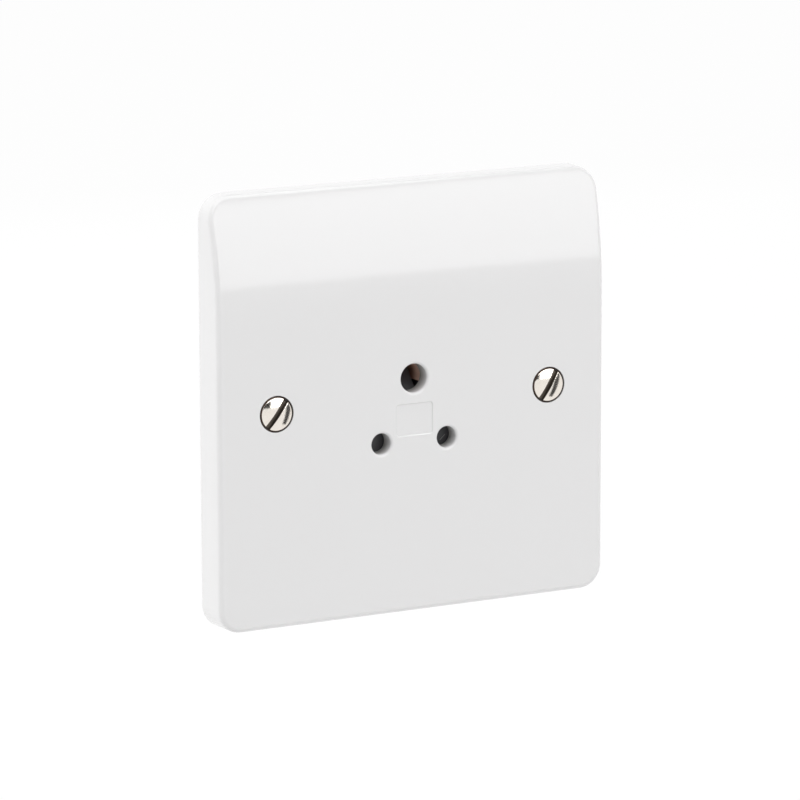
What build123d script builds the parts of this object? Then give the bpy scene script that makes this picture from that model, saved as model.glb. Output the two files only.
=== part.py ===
"""Three-pin socket outlet for small round pins, on a square wall plate.

The origin is the middle of the plate in the plane of the wall. X runs to the right, Z up
and Y into the wall, so the room is on the -Y side. Heights are measured from the wall
towards the room, and a negative height lies inside the wall box.
"""

from build123d import *
from math import asin, cos, degrees, radians, sin, sqrt, tan
import os

os.makedirs("parts", exist_ok=True)

# Plate, in millimetres
plate_size = 86.0
plate_depth = 7.5
corner_radius = 5.0
side_draft = 2.3
front_fillet = 1.1
front_wall = 2.4
side_wall = 2.2
flat_top = 17.5
brow_radius = 80.0

# Pins and the holes that take them
pin_spacing = 14.5
pin_row = -8.3
earth_row = 4.2
live_pin_radius = 1.78
earth_pin_radius = 2.54
hole_clearance = 0.32
hole_bevel = 0.6
pin_wall = 3.2

# Recessed pad between the holes
badge_width = 8.2
badge_height = 6.6
badge_row = -4.0
badge_depth = 0.2
badge_corner = 0.5
badge_slope = 45.0

# Fixing screws to the wall box
fixing_centres = 60.3
fixing_length = 25.0
fixing_radius = 1.75
fixing_neck = 1.55
fixing_hole = 2.1
head_radius = 3.5
head_rim = 0.15
head_dome = 0.95
head_slot = 0.95
head_slot_depth = 1.1
slot_angles = {"left": 51.0, "right": 58.0}
countersink_angle = 90.0
countersink_clearance = 0.2
tip_chamfer = 0.6
boss_radius = 4.5

# Shutter, its ramp and its spring
slide_gap = 0.15
shutter_thickness = 1.8
shutter_corner = 0.8
cover_above = 0.3
cover_below = 1.0
cover_side = 1.6
open_clearance = 0.32
web_half_width = 1.75
ramp_angle = 50.0
ramp_land = 0.6
ramp_nose = 0.2
ramp_clearance = 0.16
spring_room = 8.2
spring_wire = 0.35
spring_coil_radius = 1.3
spring_turns = 7
spring_seat_width = 7.8
spring_groove_overrun = 1.0
peg_radius = 0.8
peg_length = 1.2

# Moulded carrier behind the plate
flange_thickness = 3.0
carrier_depth = 15.0
carrier_wall = 1.6
carrier_web = 1.1
carrier_corner = 1.2
carrier_rear_edge = 0.6
flange_margin = 4.0
flange_above = 1.2
flange_below = 1.4
well_gap = 0.25
fit_gap = 0.15
face_gap = 0.1
gusset_thickness = 1.5
gusset_reach = 6.0

# Contacts and their grip springs
sheet = 0.8
live_sleeve_length = 9.3
earth_sleeve_length = 11.4
live_sleeve_slot = 0.7
earth_open_below = 1.3
mouth_flare = 0.4
sleeve_setback = 0.3
tail_height = -2.8
tail_width = 5.0
ring_height = -5.0
ring_wire = 0.7
ring_groove = 0.2
live_ring_opening = 40.0
earth_ring_opening = 140.0
live_pin_reach = 9.0
earth_pin_reach = 13.6

# Terminals and their screws
block_width = 7.0
block_length = 7.5
block_depth = 9.5
block_chamfer = 0.3
wire_radius = 1.9
wire_height = -6.2
wireway_clearance = 0.5
terminal_screw_radius = 1.65
terminal_head_radius = 2.5
terminal_head_height = 1.9
terminal_slot = 0.8
terminal_slot_depth = 1.0
terminal_slot_angle = 35.0
terminal_lift = 0.4
tip_clearance = 0.5
thread_gap = 0.05
access_clearance = 0.5

# Screws that hold the carrier to the plate
housing_screw_radius = 1.2
housing_screw_length = 6.5
housing_head_radius = 2.6
housing_head_height = 1.6
housing_head_edge = 0.8
housing_hole_clearance = 0.4
cross_width = 0.8
cross_span = 3.0
cross_depth = 0.9
pillar_radius = 3.0
corner_inset = 3.3

# Ribs inside the plate
rib_thickness = 1.2
rib_setback = 0.6
boss_setback = 0.5
rail_width = 1.2
rail_gap = 0.2
rail_overhang = 0.5
pad_margin = 2.0
tail_peg = 2.4

# Heights of the stacked layers, worked out from the sizes above
pad_rear = plate_depth - pin_wall
shutter_front = pad_rear - slide_gap
shutter_rear = shutter_front - shutter_thickness
flange_front = shutter_rear - slide_gap
flange_rear = flange_front - flange_thickness
block_front = tail_height
block_rear = block_front - block_depth

# Pin holes, shutter travel and shutter outline
pin_x = pin_spacing / 2
live_hole_radius = live_pin_radius + hole_clearance
earth_hole_radius = earth_pin_radius + hole_clearance
wing_top = pin_row + live_hole_radius + cover_above
wing_bottom = pin_row - live_hole_radius - cover_below
shutter_half_width = pin_x + live_hole_radius + cover_side
shutter_travel = cover_above + live_hole_radius + live_pin_radius + open_clearance
ramp_foot = earth_row - earth_pin_radius - ramp_clearance
ramp_top = earth_row + sqrt((earth_pin_radius - ramp_clearance) ** 2 - web_half_width**2)
ramp_run = (ramp_top - ramp_foot) / tan(radians(ramp_angle))
ramp_slot_rear = shutter_front - ramp_run - ramp_land - ramp_clearance
spring_seat = wing_bottom - spring_room
spring_height = (shutter_front + shutter_rear) / 2

# Contacts and terminals
live_sleeve_radius = live_pin_radius + sheet
earth_sleeve_radius = earth_pin_radius + sheet
live_ring_radius = live_sleeve_radius - ring_groove + ring_wire / 2 + thread_gap
earth_ring_radius = earth_sleeve_radius - ring_groove + ring_wire / 2 + thread_gap
live_well_radius = live_ring_radius + ring_wire / 2 + well_gap
earth_well_radius = earth_ring_radius + ring_wire / 2 + well_gap
live_sleeve_front = flange_front - sleeve_setback
earth_sleeve_front = pad_rear - sleeve_setback
terminal_x = pin_x + live_well_radius + carrier_web + fit_gap + block_width / 2
earth_terminal_row = earth_row + earth_well_radius + carrier_web + fit_gap + block_length / 2

# Outline of the carrier
body_half_width = terminal_x + block_width / 2 + fit_gap + carrier_wall
body_top = pin_row + block_length / 2 + fit_gap + carrier_wall
body_bottom = pin_row - block_length / 2 - fit_gap - carrier_wall
tower_half_width = max(block_width / 2 + fit_gap, earth_well_radius) + carrier_wall
tower_top = earth_terminal_row + block_length / 2 + fit_gap + carrier_wall
flange_half_width = body_half_width + flange_margin
flange_top = tower_top + flange_above
flange_bottom = spring_seat - rib_thickness - flange_below
flange_middle = (flange_top + flange_bottom) / 2
screw_x = flange_half_width - corner_inset
screw_rows = {"top": flange_top - corner_inset, "bottom": flange_bottom + corner_inset}

# Each pole: the place of its pin, its terminal, and the way its wire leaves
poles = {
    "line": {"pin": (pin_x, pin_row), "terminal": (terminal_x, pin_row), "wire": -1},
    "neutral": {"pin": (-pin_x, pin_row), "terminal": (-terminal_x, pin_row), "wire": -1},
    "earth": {"pin": (0.0, earth_row), "terminal": (0.0, earth_terminal_row), "wire": 1},
}


def level(height):
    """A plane parallel to the wall, facing the room, with X to the right and Z up."""
    return Plane.XZ.offset(height)


def behind_face(inset):
    """The space between the wall and the moulded face, with the face moved back by inset.

    Seen from the side the face is flat up to the brow and then bends back in one arc.
    """
    radius = brow_radius - inset
    height = plate_depth - inset
    rise = plate_size / 2 + corner_radius - flat_top
    bend = degrees(asin(rise / radius))
    with BuildPart() as space:
        with BuildSketch(Plane.YZ):
            with BuildLine():
                brow = CenterArc((radius - height, flat_top), radius, 180, -bend)
                room_side = [brow @ 0, (-height, -plate_size)]
                wall_side = [(plate_depth, -plate_size), (plate_depth, (brow @ 1).Y)]
                Polyline(*room_side, *wall_side, brow @ 1)
            make_face()
        extrude(amount=plate_size, both=True)
    return space.part


def dome_drop(distance):
    """How far the domed screw head falls away at a distance from its middle."""
    sphere = (head_radius**2 + head_dome**2) / (2 * head_dome)
    return sphere - sqrt(sphere**2 - distance**2)


def pole_well(pole):
    """Radius and depth of the well that holds a contact sleeve."""
    if pole == "earth":
        return earth_well_radius, earth_pin_reach
    return live_well_radius, live_pin_reach


def turned_profile(place, angle):
    """A half plane that ends on a round piece's axis, for a profile that is turned about it.

    Its x runs into the wall and its y runs away from the axis.
    """
    turn = radians(angle)
    return Plane(origin=(place[0], 0, place[1]), x_dir=(0, 1, 0), z_dir=(sin(turn), 0, -cos(turn)))


def axis_of(place):
    """The axis of a round piece that points into the wall."""
    return Axis((place[0], 0, place[1]), (0, 1, 0))


# Hollow of the plate, open to the wall
with BuildPart() as hollow:
    with BuildSketch(level(0)):
        RectangleRounded(plate_size - 2 * side_wall, plate_size - 2 * side_wall, corner_radius - side_wall)
    extrude(amount=plate_depth)
    add(behind_face(front_wall), mode=Mode.INTERSECT)

# Everything that stands on the inside of the plate
with BuildPart() as fittings:
    # bosses round the fixing screws, each tied to the side wall by a rib
    with BuildSketch(level(boss_setback)):
        with Locations((-fixing_centres / 2, 0), (fixing_centres / 2, 0)):
            Circle(boss_radius)
    extrude(amount=plate_depth)
    with BuildSketch(level(rib_setback)):
        rib_end = plate_size / 2 - side_wall / 2
        rib_start = fixing_centres / 2
        for side in (-1, 1):
            with Locations((side * (rib_start + rib_end) / 2, 0)):
                Rectangle(rib_end - rib_start, rib_thickness)
            with Locations((side * screw_x, (screw_rows["top"] + rib_end) / 2)):
                Rectangle(rib_thickness, rib_end - screw_rows["top"])
            with Locations((side * screw_x, (screw_rows["bottom"] - rib_end) / 2)):
                Rectangle(rib_thickness, rib_end + screw_rows["bottom"])
    extrude(amount=plate_depth)
    # room for the carrier's flange, whose screws go into four pillars
    with BuildSketch(level(flange_rear)):
        with Locations((0, flange_middle)):
            Rectangle(2 * (flange_half_width + rail_overhang), flange_top - flange_bottom + 2 * rail_overhang)
    extrude(amount=flange_front - flange_rear, mode=Mode.SUBTRACT)
    with BuildSketch(level(flange_front)):
        for row in screw_rows.values():
            with Locations((-screw_x, row), (screw_x, row)):
                Circle(pillar_radius)
    extrude(amount=plate_depth)
    # thicker wall round the pin holes, which the shutter slides on
    with BuildSketch(level(pad_rear)):
        pad_top = earth_row + earth_hole_radius + pad_margin
        pad_bottom = wing_bottom
        pad_half_width = shutter_half_width + rail_gap + rail_width
        with Locations((0, (pad_top + pad_bottom) / 2)):
            Rectangle(2 * pad_half_width, pad_top - pad_bottom)
    extrude(amount=plate_depth)
    # guide rails beside the shutter, and the seat of its spring
    with BuildSketch(level(flange_front + face_gap)):
        rail_x = shutter_half_width + rail_gap + rail_width / 2
        rail_bottom = wing_bottom - shutter_travel - rail_overhang
        rail_top = wing_top + rail_overhang
        with Locations((-rail_x, (rail_top + rail_bottom) / 2), (rail_x, (rail_top + rail_bottom) / 2)):
            Rectangle(rail_width, rail_top - rail_bottom)
        with Locations((0, spring_seat - rib_thickness / 2)):
            Rectangle(spring_seat_width, rib_thickness)
    extrude(amount=plate_depth)
    with BuildSketch(Plane.XY.offset(spring_seat)):
        with Locations((0, -spring_height)):
            Circle(peg_radius)
    extrude(amount=peg_length)
    # pegs that hold the contact tails down in the carrier
    with BuildSketch(level(tail_height + sheet + face_gap)):
        for pole in poles.values():
            with Locations(pole["terminal"]):
                Rectangle(tail_peg, tail_peg)
    extrude(amount=plate_depth)
    add(behind_face(front_wall / 2), mode=Mode.INTERSECT)

# Faceplate: a drafted square block under the brow, hollowed, with its bosses, ribs and holes
with BuildPart() as faceplate:
    with BuildSketch(level(0)):
        RectangleRounded(plate_size, plate_size, corner_radius)
    extrude(amount=plate_depth, taper=side_draft)
    add(behind_face(0), mode=Mode.INTERSECT)
    front = [face for face in faceplate.faces() if face.normal_at().Y < -0.9]
    rim = [edge for edge in faceplate.edges() if sum(edge in face.edges() for face in front) == 1]
    fillet(rim, front_fillet)
    add(hollow.part, mode=Mode.SUBTRACT)
    add(fittings.part)
    # pin holes
    with BuildSketch(level(0)):
        with Locations((-pin_x, pin_row), (pin_x, pin_row)):
            Circle(live_hole_radius)
        with Locations((0, earth_row)):
            Circle(earth_hole_radius)
    extrude(amount=2 * plate_depth, mode=Mode.SUBTRACT)
    mouths = [
        edge
        for edge in faceplate.edges().filter_by(GeomType.CIRCLE)
        if abs(edge.center().Y + plate_depth) < fit_gap and edge.radius > live_pin_radius
    ]
    fillet(mouths, hole_bevel)
    # shallow pad with sloping edges between the holes, left bare
    with BuildSketch(level(plate_depth - badge_depth)):
        with Locations((0, badge_row)):
            slope = badge_depth * tan(radians(badge_slope))
            RectangleRounded(badge_width - 2 * slope, badge_height - 2 * slope, badge_corner)
    extrude(amount=2 * badge_depth, taper=-badge_slope, mode=Mode.SUBTRACT)
    # countersunk holes for the fixing screws
    with Locations(level(plate_depth)):
        with Locations((-fixing_centres / 2, 0), (fixing_centres / 2, 0)):
            CounterSinkHole(
                fixing_hole,
                head_radius + countersink_clearance,
                counter_sink_angle=countersink_angle,
            )
    # pilot holes for the carrier's screws, closed towards the room
    with BuildSketch(level(flange_front)):
        for row in screw_rows.values():
            with Locations((-screw_x, row), (screw_x, row)):
                Circle(housing_screw_radius + thread_gap)
    extrude(amount=housing_screw_length - flange_thickness + rail_gap, mode=Mode.SUBTRACT)
faceplate.part.label = "faceplate"

# Rear carrier: one black moulding with a flange, a terminal block and an earth tower
with BuildPart() as carrier:
    with BuildSketch(level(flange_rear)):
        with Locations((0, flange_middle)):
            RectangleRounded(2 * flange_half_width, flange_top - flange_bottom, corner_inset)
    extrude(amount=flange_thickness)
    with BuildSketch(level(-carrier_depth)):
        with Locations((0, (body_top + body_bottom) / 2)):
            Rectangle(2 * body_half_width, body_top - body_bottom)
        with Locations((0, (tower_top + body_bottom) / 2)):
            Rectangle(2 * tower_half_width, tower_top - body_bottom)
    extrude(amount=carrier_depth + flange_rear)
    uprights = carrier.edges().filter_by(Axis.Y)
    fillet([edge for edge in uprights if edge.length > flange_thickness + fit_gap], carrier_corner)
    fillet(carrier.faces().sort_by(Axis.Y)[-1].edges(), carrier_rear_edge)
    # gussets from the block and the tower to the flange
    for side in (-1, 1):
        with BuildSketch(Plane.YZ.offset(side * terminal_x)):
            with BuildLine():
                foot = (-flange_rear - fit_gap, body_top - fit_gap)
                Polyline(foot, (foot[0], body_top + gusset_reach), (gusset_reach, foot[1]), close=True)
            make_face()
        extrude(amount=gusset_thickness / 2, both=True)
        with BuildSketch(Plane.XY.offset(earth_terminal_row)):
            with BuildLine():
                foot = (side * (tower_half_width - fit_gap), -flange_rear - fit_gap)
                tip = (side * (tower_half_width + gusset_reach), foot[1])
                Polyline(foot, tip, (foot[0], gusset_reach), close=True)
            make_face()
        extrude(amount=gusset_thickness / 2, both=True)
    for pole, place in poles.items():
        radius, depth = pole_well(pole)
        pin = place["pin"]
        terminal = place["terminal"]
        middle = ((pin[0] + terminal[0]) / 2, (pin[1] + terminal[1]) / 2)
        span = abs(terminal[0] - pin[0]) + abs(terminal[1] - pin[1])
        # well round the contact sleeve
        with BuildSketch(level(-depth)):
            with Locations(pin):
                Circle(radius)
        extrude(amount=depth + flange_front, mode=Mode.SUBTRACT)
        # pocket of the terminal, and the channel that its tail lies in
        with BuildSketch(level(block_rear - face_gap)):
            with Locations(terminal):
                Rectangle(block_width + 2 * fit_gap, block_length + 2 * fit_gap)
        extrude(amount=flange_front - block_rear + face_gap, mode=Mode.SUBTRACT)
        with BuildSketch(level(tail_height)):
            with Locations(middle):
                if pole == "earth":
                    Rectangle(tail_width + 2 * fit_gap, span)
                else:
                    Rectangle(span, tail_width + 2 * fit_gap)
        extrude(amount=flange_front - tail_height, mode=Mode.SUBTRACT)
        # way in for the wire, and the hole that a screwdriver reaches the screw through
        with BuildSketch(Plane.XY.offset(terminal[1])):
            with Locations((terminal[0], -wire_height)):
                Circle(wire_radius + wireway_clearance)
        extrude(amount=place["wire"] * 2 * block_length, mode=Mode.SUBTRACT)
        with BuildSketch(level(-2 * carrier_depth)):
            with Locations(terminal):
                Circle(terminal_head_radius + access_clearance)
        extrude(amount=2 * carrier_depth + block_rear, mode=Mode.SUBTRACT)
    # slot for the shutter's ramp, and a groove for its spring
    with BuildSketch(level(ramp_slot_rear)):
        slot_low = ramp_foot - ramp_land - shutter_travel - ramp_clearance
        with Locations((0, (earth_row + slot_low) / 2)):
            Rectangle(2 * (web_half_width + ramp_clearance), earth_row - slot_low)
    extrude(amount=plate_depth + carrier_depth, mode=Mode.SUBTRACT)
    with BuildSketch(level(spring_height - spring_coil_radius - spring_wire / 2 - well_gap)):
        with Locations((0, (wing_bottom + spring_seat) / 2)):
            groove_width = 2 * (spring_coil_radius + spring_wire / 2 + well_gap)
            Rectangle(groove_width, spring_room + 2 * spring_groove_overrun)
    extrude(amount=plate_depth, mode=Mode.SUBTRACT)
    # screw holes, and room for the bosses of the fixing screws
    with BuildSketch(level(-carrier_depth)):
        for row in screw_rows.values():
            with Locations((-screw_x, row), (screw_x, row)):
                Circle(housing_screw_radius + housing_hole_clearance)
        with Locations((-fixing_centres / 2, 0), (fixing_centres / 2, 0)):
            Circle(boss_radius + access_clearance)
    extrude(amount=plate_depth + carrier_depth, mode=Mode.SUBTRACT)
carrier.part.label = "rear_housing"

# Shutter: two wings over the live pins and a ramp that the earth pin pushes down
with BuildPart() as shutter:
    with BuildSketch(level(shutter_rear)):
        with Locations((0, (wing_top + wing_bottom) / 2)):
            RectangleRounded(2 * shutter_half_width, wing_top - wing_bottom, shutter_corner)
    extrude(amount=shutter_thickness)
    ramp_back = ramp_run + ramp_land - shutter_front
    with BuildSketch(Plane.YZ):
        with BuildLine():
            Polyline(
                (-shutter_front, pin_row),
                (-shutter_front, ramp_foot),
                (ramp_run - shutter_front, ramp_top),
                (ramp_back, ramp_top),
                (ramp_back, ramp_top - shutter_thickness),
                (-shutter_rear, ramp_foot - ramp_land),
                (-shutter_rear, pin_row),
                close=True,
            )
        make_face()
    extrude(amount=web_half_width, both=True)
    with BuildSketch(Plane.XY.offset(wing_bottom)):
        with Locations((0, -spring_height)):
            Circle(peg_radius)
    extrude(amount=-peg_length)
    fillet(shutter.edges().filter_by(Axis.X).sort_by(Axis.Z)[-2:], ramp_nose)
shutter.part.label = "shutter"

# Return spring between the shutter and the seat on the plate
with BuildPart() as spring:
    coil_height = spring_room - spring_wire - 2 * face_gap
    with BuildLine() as coil:
        Helix(
            pitch=coil_height / spring_turns,
            height=coil_height,
            radius=spring_coil_radius,
            center=(0, -spring_height, spring_seat + spring_wire / 2 + face_gap),
        )
    with BuildSketch(Plane(origin=coil.line @ 0, z_dir=coil.line % 0)):
        Circle(spring_wire / 2)
    sweep(is_frenet=True)
spring.part.label = "shutter_spring"

# Contacts of the two live poles: a split tube with a flat tail to its terminal
for name in ("line", "neutral"):
    pin = poles[name]["pin"]
    tail_end = poles[name]["terminal"][0] + (block_width / 2 if pin[0] > 0 else -block_width / 2)
    with BuildPart() as contact:
        with BuildSketch(level(tail_height)):
            with Locations(((pin[0] + tail_end) / 2, pin_row)):
                Rectangle(abs(tail_end - pin[0]), tail_width)
        extrude(amount=sheet)
        with BuildSketch(level(live_sleeve_front - live_sleeve_length)):
            with Locations(pin):
                Circle(live_sleeve_radius)
        extrude(amount=live_sleeve_length)
        with BuildSketch(level(ring_height - ring_wire / 2)):
            with Locations(pin):
                Circle(live_sleeve_radius + sheet)
                Circle(live_sleeve_radius - ring_groove, mode=Mode.SUBTRACT)
        extrude(amount=ring_wire, mode=Mode.SUBTRACT)
        with BuildSketch(level(live_sleeve_front - live_sleeve_length)):
            with Locations(pin):
                Circle(live_pin_radius)
            with Locations((pin[0], pin_row - live_sleeve_radius)):
                Rectangle(live_sleeve_slot, 2 * live_sleeve_radius)
        extrude(amount=live_sleeve_length, mode=Mode.SUBTRACT)
    contact.part.label = f"{name}_contact"
    export_step(contact.part, f"parts/{name}_contact.step")

# Earth contact: an arch of sheet that is open below for the ramp, flared as far as the ramp reaches
with BuildPart() as earth_contact:
    mouth = earth_sleeve_front
    throat = ramp_slot_rear
    end = mouth - earth_sleeve_length
    with BuildSketch(turned_profile((0, earth_row), 90)):
        with BuildLine():
            Polyline(
                (-mouth, earth_pin_radius + mouth_flare),
                (-throat, earth_pin_radius),
                (-end, earth_pin_radius),
                (-end, earth_sleeve_radius),
                (-throat, earth_sleeve_radius),
                (-mouth, earth_sleeve_radius + mouth_flare),
                close=True,
            )
        make_face()
    revolve(axis=axis_of((0, earth_row)))
    with BuildSketch(level(tail_height)):
        tail_top = earth_terminal_row + block_length / 2
        tail_foot = earth_row + earth_pin_radius + sheet / 2
        with Locations((0, (tail_top + tail_foot) / 2)):
            Rectangle(tail_width, tail_top - tail_foot)
    extrude(amount=sheet)
    with BuildSketch(level(ring_height - ring_wire / 2)):
        with Locations((0, earth_row)):
            Circle(earth_sleeve_radius + sheet)
            Circle(earth_sleeve_radius - ring_groove, mode=Mode.SUBTRACT)
    extrude(amount=ring_wire, mode=Mode.SUBTRACT)
    with BuildSketch(level(end)):
        with Locations((0, earth_row)):
            Circle(earth_pin_radius)
        with Locations((0, earth_row - earth_open_below - earth_sleeve_radius)):
            Rectangle(4 * earth_sleeve_radius, 2 * earth_sleeve_radius)
    extrude(amount=earth_sleeve_length, mode=Mode.SUBTRACT)
earth_contact.part.label = "earth_contact"

# Spring steel rings that keep the sleeves tight on the pins, open below
ring_sizes = {"line": live_ring_radius, "neutral": live_ring_radius, "earth": earth_ring_radius}
for name, ring_radius in ring_sizes.items():
    place = poles[name]["pin"]
    opening = earth_ring_opening if name == "earth" else live_ring_opening
    with BuildPart() as ring:
        with BuildSketch(turned_profile(place, -90 - opening / 2)):
            with Locations((-ring_height, ring_radius)):
                Circle(ring_wire / 2)
        revolve(axis=axis_of(place), revolution_arc=360 - opening)
    ring.part.label = f"{name}_grip_spring"
    export_step(ring.part, f"parts/{name}_grip_spring.step")

# Terminal blocks, each with a wire hole along Z and a tapped hole from the back, and their screws
tip_height = wire_height - wire_radius - tip_clearance
for name in poles:
    place = poles[name]["terminal"]
    with BuildPart() as block:
        with BuildSketch(level(block_rear)):
            with Locations(place):
                Rectangle(block_width, block_length)
        extrude(amount=block_depth)
        chamfer(block.edges().filter_by(Axis.Y), block_chamfer)
        with BuildSketch(Plane.XY.offset(place[1])):
            with Locations((place[0], -wire_height)):
                Circle(wire_radius)
        extrude(amount=block_length, both=True, mode=Mode.SUBTRACT)
        with BuildSketch(level(block_rear)):
            with Locations(place):
                Circle(terminal_screw_radius + thread_gap)
        extrude(amount=wire_height - block_rear, mode=Mode.SUBTRACT)
    block.part.label = f"{name}_terminal"
    export_step(block.part, f"parts/{name}_terminal.step")

    head_end = block_rear - terminal_lift - terminal_head_height
    with BuildPart() as screw:
        with BuildSketch(level(head_end)):
            with Locations(place):
                Circle(terminal_head_radius)
        extrude(amount=terminal_head_height)
        fillet(screw.edges().sort_by(Axis.Y)[-1], block_chamfer)
        with BuildSketch(level(head_end)):
            with Locations(place):
                Circle(terminal_screw_radius)
        extrude(amount=tip_height - head_end)
        chamfer(screw.edges().sort_by(Axis.Y)[0], block_chamfer)
        with BuildSketch(level(head_end)):
            with Locations(Location(place + (0,), terminal_slot_angle)):
                Rectangle(3 * terminal_head_radius, terminal_slot)
        extrude(amount=terminal_slot_depth, mode=Mode.SUBTRACT)
    screw.part.label = f"{name}_terminal_screw"
    export_step(screw.part, f"parts/{name}_terminal_screw.step")

# Raised countersunk screws that fix the plate to the wall box
for name, side in (("left", -1), ("right", 1)):
    place = (side * fixing_centres / 2, 0)
    seat = plate_depth - countersink_clearance + thread_gap
    top = seat + head_rim + head_dome
    tip = plate_depth - fixing_length
    with BuildPart() as screw:
        with BuildSketch(turned_profile(place, 90)):
            with BuildLine():
                ThreePointArc(
                    (-top, 0),
                    (-top + dome_drop(head_radius / 2), head_radius / 2),
                    (-seat - head_rim, head_radius),
                )
                Polyline(
                    (-seat - head_rim, head_radius),
                    (-seat, head_radius),
                    (-seat + head_radius - fixing_neck, fixing_neck),
                    (0, fixing_neck),
                    (0, fixing_radius),
                    (-tip - tip_chamfer, fixing_radius),
                    (-tip, fixing_radius - tip_chamfer),
                    (-tip, 0),
                    (-top, 0),
                )
            make_face()
        revolve(axis=axis_of(place))
        with BuildSketch(level(top - head_slot_depth)):
            with Locations(Location(place + (0,), slot_angles[name])):
                Rectangle(3 * head_radius, head_slot)
        extrude(amount=plate_depth, mode=Mode.SUBTRACT)
    screw.part.label = f"fixing_screw_{name}"
    export_step(screw.part, f"parts/fixing_screw_{name}.step")

# Pan head screws that hold the carrier to the plate's pillars
for row_name, row in screw_rows.items():
    for name, side in (("left", -1), ("right", 1)):
        place = (side * screw_x, row)
        with BuildPart() as screw:
            with BuildSketch(level(flange_rear - housing_head_height)):
                with Locations(place):
                    Circle(housing_head_radius)
            extrude(amount=housing_head_height)
            fillet(screw.edges().sort_by(Axis.Y)[-1], housing_head_edge)
            with BuildSketch(level(flange_rear - housing_head_height)):
                with Locations(place):
                    Rectangle(cross_span, cross_width)
                    Rectangle(cross_width, cross_span)
            extrude(amount=cross_depth, mode=Mode.SUBTRACT)
            with BuildSketch(level(flange_rear)):
                with Locations(place):
                    Circle(housing_screw_radius)
            extrude(amount=housing_screw_length)
            chamfer(screw.edges().sort_by(Axis.Y)[0], tip_chamfer)
        screw.part.label = f"housing_screw_{row_name}_{name}"
        export_step(screw.part, f"parts/housing_screw_{row_name}_{name}.step")

export_step(faceplate.part, "parts/faceplate.step")
export_step(carrier.part, "parts/rear_housing.step")
export_step(shutter.part, "parts/shutter.step")
export_step(spring.part, "parts/shutter_spring.step")
export_step(earth_contact.part, "parts/earth_contact.step")
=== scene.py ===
"""Finish of the round pin socket: its mouldings, plated screws, contacts and springs.

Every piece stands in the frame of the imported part, in metres: X to the right, Y into the
wall and Z up, with the origin in the middle of the plate in the plane of the wall.
"""
import math

import bmesh
import bpy
from mathutils import Matrix, Quaternion, Vector


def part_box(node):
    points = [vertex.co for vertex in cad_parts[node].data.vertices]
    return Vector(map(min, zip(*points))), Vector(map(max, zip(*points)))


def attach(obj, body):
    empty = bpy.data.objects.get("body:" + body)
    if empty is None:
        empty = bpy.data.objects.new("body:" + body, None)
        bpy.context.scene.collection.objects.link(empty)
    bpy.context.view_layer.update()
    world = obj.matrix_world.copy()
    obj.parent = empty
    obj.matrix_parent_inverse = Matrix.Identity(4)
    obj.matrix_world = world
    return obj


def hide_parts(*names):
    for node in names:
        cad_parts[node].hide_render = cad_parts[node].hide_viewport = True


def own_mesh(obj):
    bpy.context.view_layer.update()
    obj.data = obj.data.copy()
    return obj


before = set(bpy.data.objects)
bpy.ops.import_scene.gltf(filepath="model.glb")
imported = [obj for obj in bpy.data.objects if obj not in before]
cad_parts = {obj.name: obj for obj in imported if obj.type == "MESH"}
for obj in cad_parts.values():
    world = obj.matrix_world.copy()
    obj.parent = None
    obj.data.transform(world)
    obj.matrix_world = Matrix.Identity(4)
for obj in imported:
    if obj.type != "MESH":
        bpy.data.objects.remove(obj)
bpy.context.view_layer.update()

MM = 0.001
POLES = ("line", "neutral", "earth")
SIDES = {"left": -1, "right": 1}

# Camera, where the photograph was taken from
CAMERA_YAW = math.radians(27.69)
CAMERA_PITCH = math.radians(11.68)
CAMERA_ROLL = math.radians(-0.15)
CAMERA_DISTANCE = 0.940
CAMERA_AIM = Vector((0.4, -0.55, -1.43)) * MM
CAMERA_SENSOR = 36.0
CAMERA_LENS = 214.1
CAMERA_NEAR = 0.01
CAMERA_FAR = 20.0

# Studio: the room's light on the object, the floor, the lamps and the dark cards
ROOM_LIGHT = 0.42
FLOOR_HEIGHT = -0.25
FLOOR_RADIUS = 4.0
FLOOR_SHADE = 0.74
FLOOR_GLOW = 1.02
FLOOR_GLOW_SHARE = 0.94
LAMP_DISTANCE = 1.5
CARD_SHADE = 0.02
PAPER_ROUGHNESS = 0.9

# Plate and the holes for the pins
PLATE_DEPTH = 7.5 * MM
PIN_WALL = 3.2 * MM
INNER_FACE = 5.1 * MM
PIN_X = 7.25 * MM
PIN_ROW = -8.3 * MM
EARTH_ROW = 4.2 * MM
LIVE_HOLE = 2.1 * MM
EARTH_HOLE = 2.86 * MM
EJECTOR_RADIUS = 2.5 * MM
EJECTOR_DEPTH = 0.12 * MM
EJECTOR_PLACES = ((-33, -31), (33, -31), (-33, 12), (33, 12), (0, -32), (-10, 30), (10, 30))

# Painted shade in the holes and countersinks, painted shade deeper in the sleeves, and one painted
# highlight line on the shutter
HOLE_MARGIN = 0.1 * MM
SHADE_START = 0.08
PIN_HOLE_SHADE = (0.16, 0.15, 0.13, 1)
PIN_HOLE_SHADE_STRENGTH = 0.6
COUNTERSINK_RADIUS = 3.7 * MM
COUNTERSINK_DEPTH = 1.6 * MM
COUNTERSINK_FULL_SHADE = 0.12 * MM
COUNTERSINK_SHADE = (0.035, 0.026, 0.022, 1)
COUNTERSINK_SHADE_STRENGTH = 0.96
SLEEVE_MOUTH = 4.0 * MM
SLEEVE_SHADE_RAMP = 3.0 * MM
SLEEVE_UNSHADED_SHARE = 0.15
SLEEVE_SHADE_STRENGTH = 0.85
SLEEVE_SHADE = (0.30, 0.14, 0.09, 1)
SHUTTER_HIGHLIGHT_COLOUR = (0.22, 0.21, 0.2, 1)
SHUTTER_HIGHLIGHT_X = 7.95 * MM
SHUTTER_HIGHLIGHT_ROW = -9.0 * MM
SHUTTER_HIGHLIGHT_ANGLE = math.radians(42)
SHUTTER_HIGHLIGHT_HALF_LENGTH = 0.75 * MM
SHUTTER_HIGHLIGHT_HALF_WIDTH = 0.05 * MM

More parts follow.
